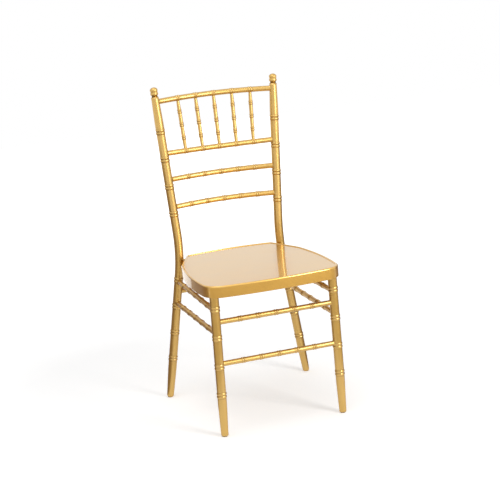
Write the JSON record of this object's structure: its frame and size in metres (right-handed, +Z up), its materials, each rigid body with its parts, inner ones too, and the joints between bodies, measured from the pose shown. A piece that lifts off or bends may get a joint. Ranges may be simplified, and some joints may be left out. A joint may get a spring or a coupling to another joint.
{
  "type": "chiavari chair",
  "caption": "Armless dining chair of gold-painted steel tube with ringed legs, bowed back rails, turned spindles and a pressed metal seat.",
  "frame": {"origin": "on the floor under the middle of the chair's overall box", "axes": "+Z up; the sitter faces -Y; +X is the viewer's right when the chair is seen from the front"},
  "size_m": [0.455, 0.4455, 0.92],
  "materials": {
    "gold_enamel": "satin metallic gold enamel",
    "seat_enamel": "gloss metallic gold enamel",
    "nylon": "moulded, matt"
  },
  "bodies": {
    "root": {"back_post_left": "gold_enamel", "back_post_right": "gold_enamel", "front_leg_left": "gold_enamel", "front_leg_right": "gold_enamel", "top_rail": "gold_enamel", "spindle_rail": "gold_enamel", "upper_slat_rail": "gold_enamel", "lower_slat_rail": "gold_enamel", "spindle_1": "gold_enamel", "spindle_2": "gold_enamel", "spindle_3": "gold_enamel", "spindle_4": "gold_enamel", "spindle_5": "gold_enamel", "front_stretcher_upper": "gold_enamel", "front_stretcher_lower": "gold_enamel", "side_stretcher_upper_left": "gold_enamel", "side_stretcher_lower_left": "gold_enamel", "side_stretcher_upper_right": "gold_enamel", "side_stretcher_lower_right": "gold_enamel", "rear_stretcher": "gold_enamel", "seat_spacer_left": "gold_enamel", "seat_spacer_right": "gold_enamel", "front_leg_cap_left": "gold_enamel", "front_leg_cap_right": "gold_enamel", "seat_stiffener_front": "gold_enamel", "seat_stiffener_rear": "gold_enamel", "finial_left": "gold_enamel", "finial_right": "gold_enamel", "seat_pan": "seat_enamel", "foot_glide_front_left": "nylon", "foot_glide_front_right": "nylon", "foot_glide_rear_left": "nylon", "foot_glide_rear_right": "nylon"}
  },
  "joints": []
}
